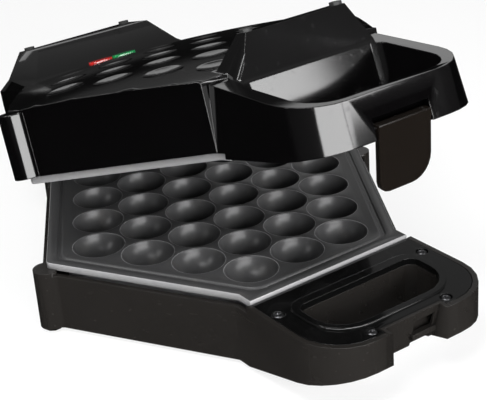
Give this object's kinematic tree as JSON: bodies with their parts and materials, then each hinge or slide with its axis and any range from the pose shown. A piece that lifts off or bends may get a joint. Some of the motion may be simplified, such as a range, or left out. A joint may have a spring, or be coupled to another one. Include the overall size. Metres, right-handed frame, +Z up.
{
  "type": "bubble waffle maker",
  "caption": "Countertop bubble waffle maker with a hexagonal field of round pits, a floating hinged lid, finger loops at the front and a drop latch.",
  "frame": {"origin": "centre of the object's outline on the table, at the underside of the rubber feet", "axes": "+X to the right seen from the front, +Y from the finger loops to the hinge, +Z up"},
  "size_m": [0.2526, 0.3475, 0.1857],
  "materials": {
    "base_black": "satin",
    "panel_gloss": "gloss",
    "lid_gloss": "gloss",
    "latch_brown": "gloss",
    "cast_plate": "satin",
    "screw_steel": "satin",
    "heater_steel": "satin",
    "bright_sheet": "polished",
    "ceramic_white": "matte",
    "wire_sleeve": "matte",
    "soft_rubber": "matte",
    "lens_red": "gloss",
    "lens_green": "gloss",
    "lamp_glass": "clear"
  },
  "bodies": {
    "base": {"base_shell": "base_black", "base_handle_panel": "panel_gloss", "base_handle_screws": "screw_steel", "base_rear_panel": "panel_gloss", "base_rear_screws": "screw_steel", "lower_plate": "cast_plate", "lower_plate_screws": "screw_steel", "lower_heater": "heater_steel", "lower_heater_clamps": "heater_steel", "lower_reflector": "bright_sheet", "lower_thermostat": "ceramic_white", "thermal_fuse": "ceramic_white", "terminal_block": "ceramic_white", "base_wiring": "wire_sleeve", "cord_gland": "soft_rubber", "rubber_feet": "soft_rubber"},
    "hinge_rod": {"hinge_rod": "screw_steel", "hinge_clips": "screw_steel"},
    "lid": {"lid_shell": "lid_gloss", "lid_handle_panel": "panel_gloss", "lid_handle_screws": "screw_steel", "lid_rear_panel": "panel_gloss", "lid_rear_screws": "screw_steel", "upper_plate": "cast_plate", "upper_plate_screws": "screw_steel", "upper_heater": "heater_steel", "upper_heater_clamps": "heater_steel", "upper_reflector": "bright_sheet", "upper_thermostat": "ceramic_white", "lid_nubs": "soft_rubber", "red_lens": "lens_red", "green_lens": "lens_green", "lamp_holder": "panel_gloss", "neon_lamps": "lamp_glass", "lid_wiring": "wire_sleeve", "latch_pin": "screw_steel"},
    "latch": {"latch_flap": "latch_brown"}
  },
  "joints": [
    {"name": "hinge_float", "type": "slide", "parent": "base", "child": "hinge_rod", "axis": [0, 0, 1], "range_m": [-0.0107, 0]},
    {"name": "lid_hinge", "type": "hinge", "parent": "hinge_rod", "child": "lid", "pos_m": [0, 0.15379, 0.0597], "axis": [-1, 0, 0], "range_deg": [-15.7, 80]},
    {"name": "latch_hinge", "type": "hinge", "parent": "lid", "child": "latch", "pos_m": [0, -0.16163, 0.15002], "axis": [-1, 0, 0], "range_deg": [0, 100]}
  ]
}
